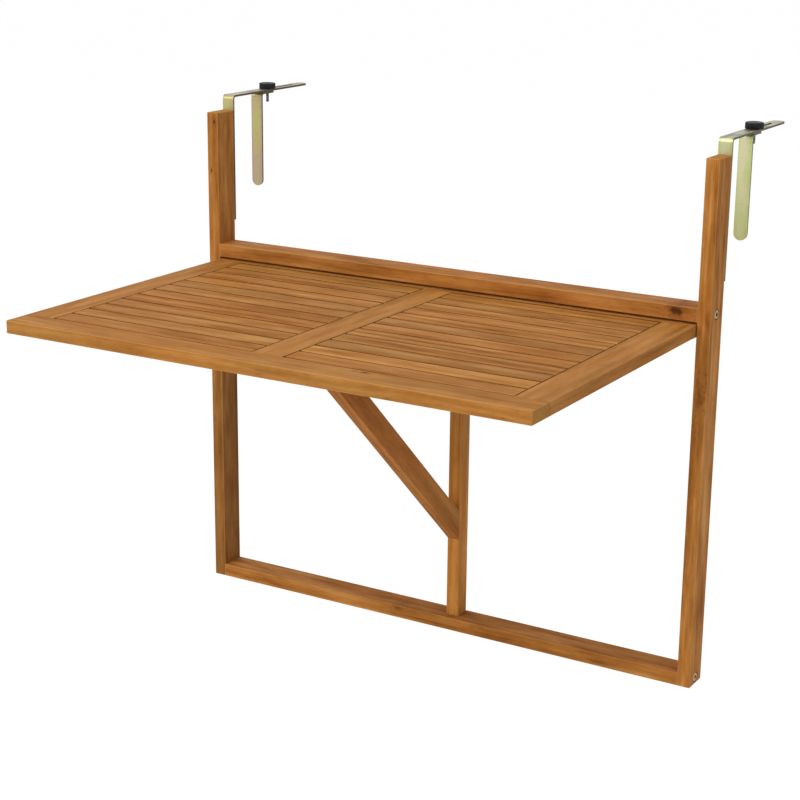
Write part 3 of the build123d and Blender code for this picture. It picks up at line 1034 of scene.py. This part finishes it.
@dataclass(frozen=True)
class WoodScrew:
    """A countersunk wood screw with a cross recess and a coarse thread.

    Attributes:
        head_radius: The radius of its head.
        face_edge: The depth and the share of the head's radius at each step of the rounded face's edge.
        head_side: How far down the head's steep side ends.
        arm_reach: How far the recess's arms reach, as a share of the head's radius.
        arm_half: Half the arms' width, as such a share.
        recess: The depth of the cross recess.
        recess_walls: The share of that depth and of the recess's size at each step from its floor.
        core_share: The thread's core radius as a share of its outer radius.
        crest_half: Half the width of the thread's ridge, as a share of its pitch.
        pitch: The thread's rise in one turn.
        plain: The plain neck under the head.
        tip: The length of its point.
        tip_share: How blunt the point is, as a share of the shank.
        segments: Faces round its axis.
    """

    head_radius: float = 4.0 * MM
    face_edge: tuple[Span, ...] = ((0.0, 0.93), (0.05 * MM, 0.98))
    head_side: float = 0.15 * MM
    arm_reach: float = 0.62
    arm_half: float = 0.17
    recess: float = 1.5 * MM
    recess_walls: tuple[Span, ...] = ((1.0, 0.45), (0.6, 0.8), (0.0, 1.0))
    core_share: float = 0.72
    crest_half: float = 0.28
    pitch: float = 1.8 * MM
    plain: float = 4.0 * MM
    tip: float = 5.0 * MM
    tip_share: float = 0.05
    segments: int = 48

    def rings(self, shank: float, length: float) -> list[Ring]:
        """Lists the levels from the recess's floor down to the point.

        Args:
            shank: The radius of the thread's crest.
            length: The screw's whole length.

        Returns:
            The levels, with the head's face at 0 and the point below.
        """
        mark = cross(self.arm_reach * self.head_radius, self.arm_half * self.head_radius)
        levels = [Ring(-depth * self.recess, scaled(mark, share)) for depth, share in self.recess_walls]
        levels += [round_ring(-depth, share * self.head_radius) for depth, share in self.face_edge]
        levels += [
            round_ring(-self.head_side, self.head_radius - self.head_side),
            round_ring(shank - self.head_radius, shank),
            round_ring(-self.plain, shank),
        ]
        rows = round((length - self.plain) / self.pitch * ROWS_PER_TURN)
        for row in range(1, rows + 1):
            depth = self.plain + (length - self.plain) * row / rows
            taper = min(1.0, max(self.tip_share, (length - depth) / self.tip))
            levels.append(Ring(-depth, self.thread(depth, shank * taper)))
        return levels

    def thread(self, depth: float, crest: float) -> Outline:
        """Makes the outline of a coarse thread.

        Args:
            depth: The depth below the head's face.
            crest: The radius of the thread's crest there.

        Returns:
            The radius at each angle.
        """
        core = self.core_share * crest

        def outline(angle: float) -> float:
            """Returns the radius at one angle of the helix."""
            phase = (depth / self.pitch + angle / FULL_TURN) % 1.0
            return core + (crest - core) * max(0.0, 1.0 - abs(phase - 0.5) / self.crest_half)

        return outline

    def build(self, name: str, node: str, body: Body, steel: BrightSteel) -> None:
        """Replaces each screw of a node, whose places follow from the node's box.

        Args:
            name: The name that the pieces are numbered under.
            node: The node of screws, driven towards the table's front.
            body: The body that they ride on.
            steel: Their finish.
        """
        # The driving recess takes a near-black painted shade.
        finish = steel.material(node), steel.recess(node)
        low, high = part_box(node)
        levels = self.rings(self.head_radius / 2, high.y - low.y)
        columns = sorted({round(low.x + self.head_radius, 5), round(high.x - self.head_radius, 5)})
        rows = (low.z + self.head_radius, high.z - self.head_radius)
        for count, (x, z) in enumerate(((x, z) for x in columns for z in rows), 1):
            place = facing(Vector((x, high.y, z)), BACKWARDS)
            screw = turned(f"{name}_{count}", levels, self.segments, place, recess=len(self.recess_walls))
            stand_in(screw, node, body.value, Slot.BRIGHT_STEEL, *finish)


@dataclass(frozen=True)
class JointBolt:
    """A flat-headed bolt with a hexagon socket, sunk in the outer face of an upright.

    Attributes:
        head_radius: The radius of its head.
        head_height: The height of its head.
        rim: The radius that the head's edge is rounded by.
        rim_steps: The steps of that rounding.
        socket: Half the hexagon's width across flats.
        socket_depth: The depth of the hexagon.
        drill_point: How much deeper the socket's drilled middle is.
        drill_share: How wide that middle's floor is, as a share of the hexagon.
        lead_in: The depth of the hexagon's chamfer.
        lead_share: How much wider the hexagon is at the head's face.
        shank_radius: The radius of its shank.
        end_bevel: The length of the bevel at the shank's end.
        end_share: How wide the shank's end is, as a share of the shank.
        grip: How far it reaches into the rail.
        segments: Faces round its axis.
    """

    head_radius: float = 6.5 * MM
    head_height: float = 2.5 * MM
    rim: float = 1.1 * MM
    rim_steps: int = 6
    socket: float = 2.5 * MM
    socket_depth: float = 1.8 * MM
    drill_point: float = 0.5 * MM
    drill_share: float = 0.15
    lead_in: float = 0.25 * MM
    lead_share: float = 1.12
    shank_radius: float = 3.0 * MM
    end_bevel: float = 0.5 * MM
    end_share: float = 0.8
    grip: float = 45.0 * MM
    segments: int = 72

    def socket_rings(self) -> list[Ring]:
        """Lists the levels from the socket's drilled middle up to the head's face.

        Returns:
            The levels, with the head's face at 0.
        """
        return [
            round_ring(-self.socket_depth - self.drill_point, self.drill_share * self.socket),
            Ring(-self.socket_depth, hexagon(self.socket)),
            Ring(-self.lead_in, hexagon(self.socket)),
            Ring(0.0, hexagon(self.lead_share * self.socket)),
        ]

    def outer_rings(self, reach: float) -> list[Ring]:
        """Lists the levels from the head's face down the shank.

        Args:
            reach: The bolt's whole length.

        Returns:
            The levels, with the head's face at 0.
        """
        levels = []
        for step in range(self.rim_steps + 1):
            turn = math.pi / 2 * step / self.rim_steps
            drop = self.rim * (1.0 - math.cos(turn))
            levels.append(round_ring(-drop, self.head_radius - self.rim * (1.0 - math.sin(turn))))
        return levels + [
            round_ring(-self.head_height, self.head_radius),
            round_ring(-self.head_height, self.shank_radius),
            round_ring(self.end_bevel - reach, self.shank_radius),
            round_ring(-reach, self.end_share * self.shank_radius),
        ]

    def build(self, node: str, rail: str, steel: BrightSteel) -> None:
        """Replaces the bolts of a node, two on each side.

        Args:
            node: The node of bolts along X.
            rail: A frame rail between the uprights, whose ends the bolts run into.
            steel: Their finish.
        """
        # The hexagon socket takes a near-black painted shade.
        finish = steel.material(node), steel.recess(node)
        low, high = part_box(node)
        middle = (low.y + high.y) / 2
        heights = (low.z + self.head_radius, high.z - self.head_radius)
        socket = self.socket_rings()
        faces = ((LEFTWARDS, low.x), (RIGHTWARDS, high.x))
        for count, (side, x, z) in enumerate(((side, x, z) for side, x in faces for z in heights), 1):
            rings = socket + self.outer_rings(abs(x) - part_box(rail)[1].x + self.grip)
            place = facing(Vector((x, middle, z)), side)
            bolt = turned(f"frame_bolt_{count}", rings, self.segments, place, recess=len(socket))
            stand_in(bolt, node, Body.FRAME.value, Slot.BRIGHT_STEEL, *finish)


@dataclass(frozen=True)
class HangingFrame:
    """The two uprights and two rails, their bolts, and the pins that the top turns on.

    Attributes:
        timber: The finish of its boards.
        steel: The finish of its fasteners.
        bolt: The bolts that hold its corners.
        knots: The knots that show, by node.
    """

    timber: OiledTimber
    steel: BrightSteel
    bolt: JointBolt = field(default_factory=JointBolt)
    knots: dict[str, tuple[Knot, ...]] = field(
        default_factory=lambda: {
            "upper_rail": (Knot((0.3693, -0.042, -0.2305), 6.8 * MM),),
            "bottom_rail": (Knot((-0.067, -0.042, -0.7635), 3.6 * MM, 2.4, 0.45),),
            "right_upright": (Knot((0.4075, -0.042, -0.350), 4.0 * MM, 4.0, 0.40),),
            "left_upright": (
                Knot((-0.4054, -0.042, -0.0329), 2.6 * MM, 1.6),
                Knot((-0.4121, -0.042, -0.1089), 1.4 * MM, 2.6),
            ),
        }
    )

    def board(self, node: str, grain: Triple, **look: object) -> Board:
        """Returns one of the frame's boards with its knots and its own look."""
        return Board(node, grain, self.knots[node], **look)

    def build(self) -> None:
        """Dresses the boards and pins and builds the bolts."""
        boards = [
            # The left upright's lower third is darkened by fade: the painted shadow of the table top.
            self.board("left_upright", UPWARDS, tone=1.03, red=-0.3, fade=(0.66, 1.0), strength=1.5),
            self.board("right_upright", UPWARDS, tone=1.14, strength=1.75, trunk="d"),
            self.board("upper_rail", RIGHTWARDS, tone=0.97, red=0.3, strength=1.45),
            self.board("bottom_rail", RIGHTWARDS, tone=1.015, red=0.2, strength=1.6),
        ]
        for board in boards:
            dress(board.node, self.timber.material(board))
        dress("pivot_pins", self.steel.material("pivot_pins"))
        self.bolt.build("frame_bolts", "upper_rail", self.steel)


@dataclass(frozen=True)
class SlattedTop:
    """The table top: five rails and two panels of slats.

    Attributes:
        timber: The finish of its boards.
        slats: How many slats each panel has.
        slat_tone: How light the slats are.
        slat_red: How much the slats lean to red.
        tone_spread: How much the boards differ in lightness.
        red_spread: How much the boards differ from yellow to red.
        slat_strength: How strongly the slats' figure shows.
        slat_wear: How much the slats' pale edges show: worn, and with a painted highlight.
        pale_slat: The slat that is plainly paler than the others.
        pale_steps: How many times the spread that slat is paler than plain timber.
        front_gaps: How dark the painted shade in the gaps is on the front slats.
        left_gaps: How dark that painted shade is on the left panel's back slat.
        right_gaps: How dark that painted shade is on the right panel's back slat.
        rail_tone: How light the rails are.
        front_share: How light the front rail is beside the other rails.
        tenon: The length of the tenons on the end rails and the centre rail.
        knots: The knots that show on the front rail.
    """

    timber: OiledTimber
    slats: int = 12
    slat_tone: float = 0.95
    slat_red: float = -0.3
    tone_spread: float = 0.085
    red_spread: float = 0.5
    slat_strength: float = 1.3
    slat_wear: float = 0.15
    pale_slat: str = "right_slat_02"
    pale_steps: float = 2.3
    front_gaps: float = 0.40
    left_gaps: float = 1.0
    right_gaps: float = 0.70
    rail_tone: float = 1.04
    front_share: float = 0.95
    tenon: float = 10.0 * MM
    knots: tuple[Knot, ...] = (
        Knot((0.151, -0.4935, -0.2472), 3.0 * MM, 1.6, 0.85, upright=True),
        Knot((0.136, -0.4945, -0.2472), 3.0 * MM, 1.8, 0.30, upright=True),
    )

    def slat(self, side: Side, number: int) -> Board:
        """Draws a slat's own tone.

        Args:
            side: The panel that it lies in.
            number: Its number, counted from the front.

        Returns:
            The slat's board.
        """
        node = f"{side.value}_slat_{number:02d}"
        draw = random.Random("tone " + node)
        tone = self.slat_tone + draw.uniform(-self.tone_spread, self.tone_spread)
        red = self.slat_red + draw.uniform(-self.red_spread, self.red_spread)
        if node == self.pale_slat:
            tone, red = 1.0 + self.pale_steps * self.tone_spread, -self.red_spread
        # The painted shade in the gaps deepens from the front slat to the back one.
        back = self.left_gaps if side is Side.LEFT else self.right_gaps
        return Board(
            node,
            RIGHTWARDS,
            tone=tone,
            red=red,
            gap_faces=(LEFTWARDS, RIGHTWARDS, FORWARDS, BACKWARDS),
            strength=self.slat_strength,
            gap_shade=self.front_gaps + (back - self.front_gaps) * (number - 1) / (self.slats - 1),
            wear_and_highlight=self.slat_wear,
        )

    def rails(self) -> list[Board]:
        """Lists the rails; the end rails and the centre rail are tenoned into the other two.

        Returns:
            The five rails' boards.
        """
        tone, front_tone = self.rail_tone, self.front_share * self.rail_tone
        # The faces of these rails that border the slats get painted shade.
        ends = {"left_end": (RIGHTWARDS,), "right_end": (LEFTWARDS,), "centre": (LEFTWARDS, RIGHTWARDS)}
        tenoned = [
            Board(f"top_{name}_rail", BACKWARDS, tone=tone, red=-0.4, gap_faces=gaps, tenon=self.tenon)
            for name, gaps in ends.items()
        ]
        return tenoned + [
            Board("top_front_rail", RIGHTWARDS, self.knots, front_tone, red=-0.7, gap_faces=(BACKWARDS,)),
            Board("top_back_rail", RIGHTWARDS, tone=tone, red=0.2, gap_faces=(FORWARDS,)),
        ]

    def build(self) -> None:
        """Dresses the rails and every slat."""
        slats = [self.slat(side, number) for side in Side for number in range(1, self.slats + 1)]
        for board in self.rails() + slats:
            dress(board.node, self.timber.material(board))


@dataclass(frozen=True)
class SwingGate:
    """The turning post and its diagonal brace, with their pins and screws.

    Attributes:
        timber: The finish of its boards.
        steel: The finish of its fasteners.
        screw: The screws that hold the brace's foot.
        slope_deg: How steeply the brace rises towards the front.
    """

    timber: OiledTimber
    steel: BrightSteel
    screw: WoodScrew = field(default_factory=WoodScrew)
    slope_deg: float = 43.0

    def build(self) -> None:
        """Dresses the post, brace and pins and builds the screws."""
        slope = math.radians(self.slope_deg)
        boards = [
            Board("gate_post", UPWARDS, tone=0.98, red=-0.9, fade=(1.40, 1.05)),
            Board("gate_brace", (0.0, -math.cos(slope), math.sin(slope)), tone=0.95, red=0.5),
        ]
        for board in boards:
            dress(board.node, self.timber.material(board))
        dress("gate_pins", self.steel.material("gate_pins"))
        self.screw.build("brace_screw", "brace_screws", Body.GATE, self.steel)


@dataclass(frozen=True)
class RailingHook:
    """One hook: the bent strap on the frame, and its clamp with leg, knob and threaded stud.

    Attributes:
        side: Which hook it is.
        strap: The finish of the strap.
        leg: The finish of the clamp's leg.
        steel: The finish of the stud.
        plastic: The finish of the knob.
        ridges: The ridges round the knob.
        ridge_depth: The depth of the grooves between them.
        ridge_round: How much narrower than a wave the grooves are.
        ridge_faces: The faces across each ridge.
        foot_bevel: How far the knob's foot is drawn in.
        foot_rise: How high that bevel is.
        foot_grooves: How deep the grooves are at the foot, as a share.
        shoulder: The radius that the knob's upper edge is rounded by.
        shoulder_steps: The steps of that rounding.
        knob_face: The share of the knob's radius and the drop at each step of its dished face.
        knob_sharp_deg: The knob's edges that turn by more than this stay sharp.
        pitch: The stud's thread pitch.
        thread_depth: The depth of the stud's thread.
        thread_slope: How steep the thread's flanks are.
        thread_crest: How wide its crest is left flat.
        tail_share: How far the stud's tail is drawn in, as a share of its radius.
        stud_segments: Faces round the stud.
        stud_sharp_deg: The stud's edges that turn by more than this stay sharp.
    """

    side: Side
    strap: YellowZinc
    leg: YellowZinc
    steel: BrightSteel
    plastic: BlackPlastic
    ridges: int = 36
    ridge_depth: float = 0.6 * MM
    ridge_round: float = 1.5
    ridge_faces: int = 8
    foot_bevel: float = 0.5 * MM
    foot_rise: float = 0.4 * MM
    foot_grooves: float = 0.6
    shoulder: float = 1.6 * MM
    shoulder_steps: int = 5
    knob_face: tuple[Span, ...] = (
        (0.80, 0.0), (0.76, 0.35 * MM), (0.30, 0.45 * MM), (0.27, 0.15 * MM), (0.22, 0.05 * MM)
    )
    knob_sharp_deg: float = 50.0
    pitch: float = 0.8 * MM
    thread_depth: float = 0.45 * MM
    thread_slope: float = 2.4
    thread_crest: float = 0.1
    tail_share: float = 0.76
    stud_segments: int = 32
    stud_sharp_deg: float = 60.0

    def node(self, name: str) -> str:
        """Returns the name of one of this side's nodes."""
        return f"{self.side.value}_{name}"

    def build(self) -> None:
        """Dresses the strap and leg and builds the knob and stud."""
        for name, zinc in (("hook_strap", self.strap), ("clamp_leg", self.leg)):
            dress(self.node(name), zinc.material(self.node(name)))
        self.build_knob()
        self.build_stud()

    def upright(self, node: str) -> tuple[float, float, Matrix]:
        """Measures a round node that stands upright.

        Args:
            node: The node.

        Returns:
            Its radius, its height and the place of its foot.
        """
        low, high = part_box(node)
        foot = Vector(((low.x + high.x) / 2, (low.y + high.y) / 2, low.z))
        return (high.x - low.x) / 2, high.z - low.z, Matrix.Translation(foot)

    def ridged(self, radius: float, share: float) -> Outline:
        """Returns a ridged outline whose grooves have a share of their full depth."""
        depth = share * self.ridge_depth
        return lambda angle: radius - depth * (0.5 - 0.5 * math.cos(self.ridges * angle)) ** self.ridge_round

    def build_knob(self) -> None:
        """Builds the knob: a ridged rim, a rounded shoulder and a slightly dished face with a raised boss."""
        node = self.node("clamp_knob")
        radius, height, place = self.upright(node)
        spring = height - self.shoulder
        levels = [
            Ring(0.0, self.ridged(radius - self.foot_bevel, self.foot_grooves)),
            Ring(self.foot_rise, self.ridged(radius, 1.0)),
            Ring(spring, self.ridged(radius, 1.0)),
        ]
        for step in range(1, self.shoulder_steps + 1):
            done = step / self.shoulder_steps
            turn = math.pi / 2 * done
            drawn_in = self.shoulder * (1.0 - math.cos(turn))
            levels.append(Ring(spring + self.shoulder * math.sin(turn), self.ridged(radius - drawn_in, 1.0 - done)))
        levels += [round_ring(height - drop, share * radius) for share, drop in self.knob_face]
        segments = self.ridge_faces * self.ridges
        knob = turned(self.node("knurled_knob"), levels, segments, place, self.knob_sharp_deg)
        stand_in(knob, node, self.node("knob"), Slot.KNOB_PLASTIC, self.plastic.material(node))

    def build_stud(self) -> None:
        """Builds the threaded stud from its chamfered tail up into the knob."""
        node = self.node("clamp_stud")
        radius, length, place = self.upright(node)
        rows = round(length / self.pitch * ROWS_PER_TURN)
        levels = []
        for row in range(rows + 1):
            rise = length * row / rows
            lead = min(1.0, self.tail_share + (1.0 - self.tail_share) * rise / self.pitch)
            levels.append(Ring(rise, self.thread(rise, radius * lead)))
        stud = turned(self.node("threaded_stud"), levels, self.stud_segments, place, self.stud_sharp_deg)
        stand_in(stud, node, self.node("knob"), Slot.BRIGHT_STEEL, self.steel.material(node))

    def thread(self, rise: float, crest: float) -> Outline:
        """Makes the outline of the fine thread.

        Args:
            rise: The height above the stud's tail.
            crest: The radius of the thread's crest there.

        Returns:
            The radius at each angle.
        """

        def outline(angle: float) -> float:
            """Finds the radius of the helix.

            Args:
                angle: The angle about the axis.

            Returns:
                The radius at that angle.
            """
            phase = (rise / self.pitch - angle / FULL_TURN) % 1.0
            share = self.thread_slope * abs(phase - 0.5) - self.thread_crest
            return crest - self.thread_depth * min(1.0, max(0.0, share))

        return outline


@dataclass(frozen=True)
class SoftBox:
    """A large soft lamp.

    Attributes:
        name: Its name.
        place: Where it hangs, in metres.
        aim: What it points at.
        size: The side of its square face.
        watts: Its power.
    """

    name: str
    place: Triple
    aim: Triple
    size: float
    watts: float

    def build(self) -> None:
        """Hangs the lamp."""
        light = bpy.data.lights.new(self.name, "AREA")
        light.shape = "SQUARE"
        light.size = self.size
        light.energy = self.watts
        lamp = bpy.data.objects.new(self.name, light)
        lamp.location = self.place
        lamp.rotation_euler = (Vector(self.aim) - Vector(self.place)).to_track_quat("-Z", "Y").to_euler()
        bpy.context.scene.collection.objects.link(lamp)


@dataclass(frozen=True)
class Studio:
    """A white studio: a pale floor below the hanging table, soft lamps and the photograph's camera.

    Attributes:
        floor_level: The balcony floor's height, a railing's height below the hooks.
        floor_side: The side of the square floor.
        floor_colour: The floor's colour.
        floor_glow: How much of the floor's white is its own for the camera and in reflections.
        floor_white: How strong that white is.
        ambient: How strongly the surroundings light the table.
        eye: Where the camera stands.
        aim: What the camera looks at.
        roll_deg: How far the camera leans.
        focal_px: The lens's focal length in the photograph's pixels.
        image_px: The photograph's width in pixels.
        sensor_mm: The camera sensor's width.
        lamps: The soft lamps.
    """

    floor_level: float = -1.05
    floor_side: float = 60.0
    floor_colour: Colour = (0.93, 0.93, 0.93)
    floor_glow: float = 0.92
    floor_white: float = 1.04
    ambient: float = 0.50
    eye: Triple = (1.2868, -2.3225, 0.3437)
    aim: Triple = (0.0118, -0.1757, -0.3812)
    roll_deg: float = 0.59
    focal_px: float = 1831.6
    image_px: int = 800
    sensor_mm: float = 36.0
    lamps: tuple[SoftBox, ...] = (
        SoftBox("key_softbox", (-1.6, -3.2, 1.4), (0.0, -0.25, -0.35), 2.6, 67.0),
        SoftBox("top_softbox", (-0.3, -0.8, 2.4), (0.0, -0.25, -0.35), 2.4, 27.0),
        SoftBox("fill_softbox", (2.6, -2.2, 0.6), (0.0, -0.25, -0.40), 1.8, 10.5),
    )

    def build(self) -> None:
        """Lays the floor, lights the studio and sets up the camera."""
        self.build_floor()
        self.build_world()
        for lamp in self.lamps:
            lamp.build()
        self.build_camera()
        bpy.context.scene.view_settings.view_transform = "Standard"

    def seen(self, bench: NodeBench) -> bpy.types.NodeSocket:
        """Tells what is seen from what only gives light.

        Args:
            bench: The tree in work.

        Returns:
            1 for what the camera sees, also in metal or through glass, and 0 for light on the table.
        """
        path = bench.node("LightPath", {}).outputs
        rays = bench.calc("MAXIMUM", path["Is Camera Ray"], path["Is Glossy Ray"])
        return bench.calc("MAXIMUM", rays, path["Is Transmission Ray"])

    def build_floor(self) -> None:
        """Lays a plain white floor that keeps the table's soft shadow."""
        half = self.floor_side / 2
        corners = [(-half, -half), (half, -half), (half, half), (-half, half)]
        mesh = bpy.data.meshes.new("studio_floor")
        mesh.from_pydata([(x, y, self.floor_level) for x, y in corners], [], [(0, 1, 2, 3)])
        floor = bpy.data.objects.new("studio_floor", mesh)
        bpy.context.scene.collection.objects.link(floor)
        bench = ShaderBench("studio_floor")
        matt = bench.node("BsdfDiffuse", {"Color": (*self.floor_colour, 1.0)})
        glow = bench.node("Emission", {"Color": WHITE, "Strength": self.floor_white})
        share = bench.calc("MULTIPLY", self.seen(bench), self.floor_glow)
        both = bench.node("MixShader", {0: share, 1: matt.outputs[0], 2: glow.outputs[0]})
        bench.node("OutputMaterial", {"Surface": both.outputs[0]})
        mesh.materials.append(bench.material)

    def build_world(self) -> None:
        """Surrounds the studio with white, dimmer as a light than it looks."""
        world = bpy.data.worlds.new("studio_white")
        world.use_nodes = True
        bpy.context.scene.world = world
        bench = NodeBench(world.node_tree)
        strength = bench.node("MapRange", {"Value": self.seen(bench), "To Min": self.ambient})
        background = bench.node("Background", {"Color": WHITE, "Strength": strength.outputs[0]})
        bench.node("OutputWorld", {"Surface": background.outputs[0]})

    def build_camera(self) -> None:
        """Stands the camera where the photograph was taken."""
        data = bpy.data.cameras.new("photo_camera")
        data.sensor_width = self.sensor_mm
        data.lens = self.focal_px / self.image_px * self.sensor_mm
        camera = bpy.data.objects.new("photo_camera", data)
        look = (Vector(self.aim) - Vector(self.eye)).to_track_quat("-Z", "Y").to_matrix()
        lean = Matrix.Rotation(math.radians(self.roll_deg), 3, "Z")
        camera.matrix_world = Matrix.Translation(self.eye) @ (look @ lean).to_4x4()
        bpy.context.scene.collection.objects.link(camera)
        bpy.context.scene.camera = camera


def main() -> None:
    """Builds and dresses every sub-assembly, then the studio round them."""
    logging.basicConfig(level=logging.INFO, format="%(name)s: %(message)s")
    timber, steel, plastic = OiledTimber(), BrightSteel(), BlackPlastic()
    bolt_steel = BrightSteel(bright=(0.42, 0.29, 0.18), dull=(0.24, 0.15, 0.08))
    stud_steel = BrightSteel(bright=(0.30, 0.29, 0.28), dull=(0.14, 0.13, 0.12))
    straps = {
        Side.LEFT: YellowZinc(level=0.79, thickness=0.56),
        Side.RIGHT: YellowZinc(level=0.87, thickness=0.88),
    }
    legs = {
        Side.LEFT: YellowZinc(level=0.77, thickness=0.36),
        Side.RIGHT: YellowZinc(level=1.05, thickness=1.02, thinning=0.28, rim=0.20),
    }
    HangingFrame(timber, bolt_steel).build()
    SlattedTop(timber).build()
    SwingGate(timber, steel).build()
    for side in Side:
        RailingHook(side, straps[side], legs[side], stud_steel, plastic).build()
    WoodScrew().build("strap_screw", "strap_screws", Body.FRAME, steel)
    Studio().build()


if __name__ == "__main__":
    main()
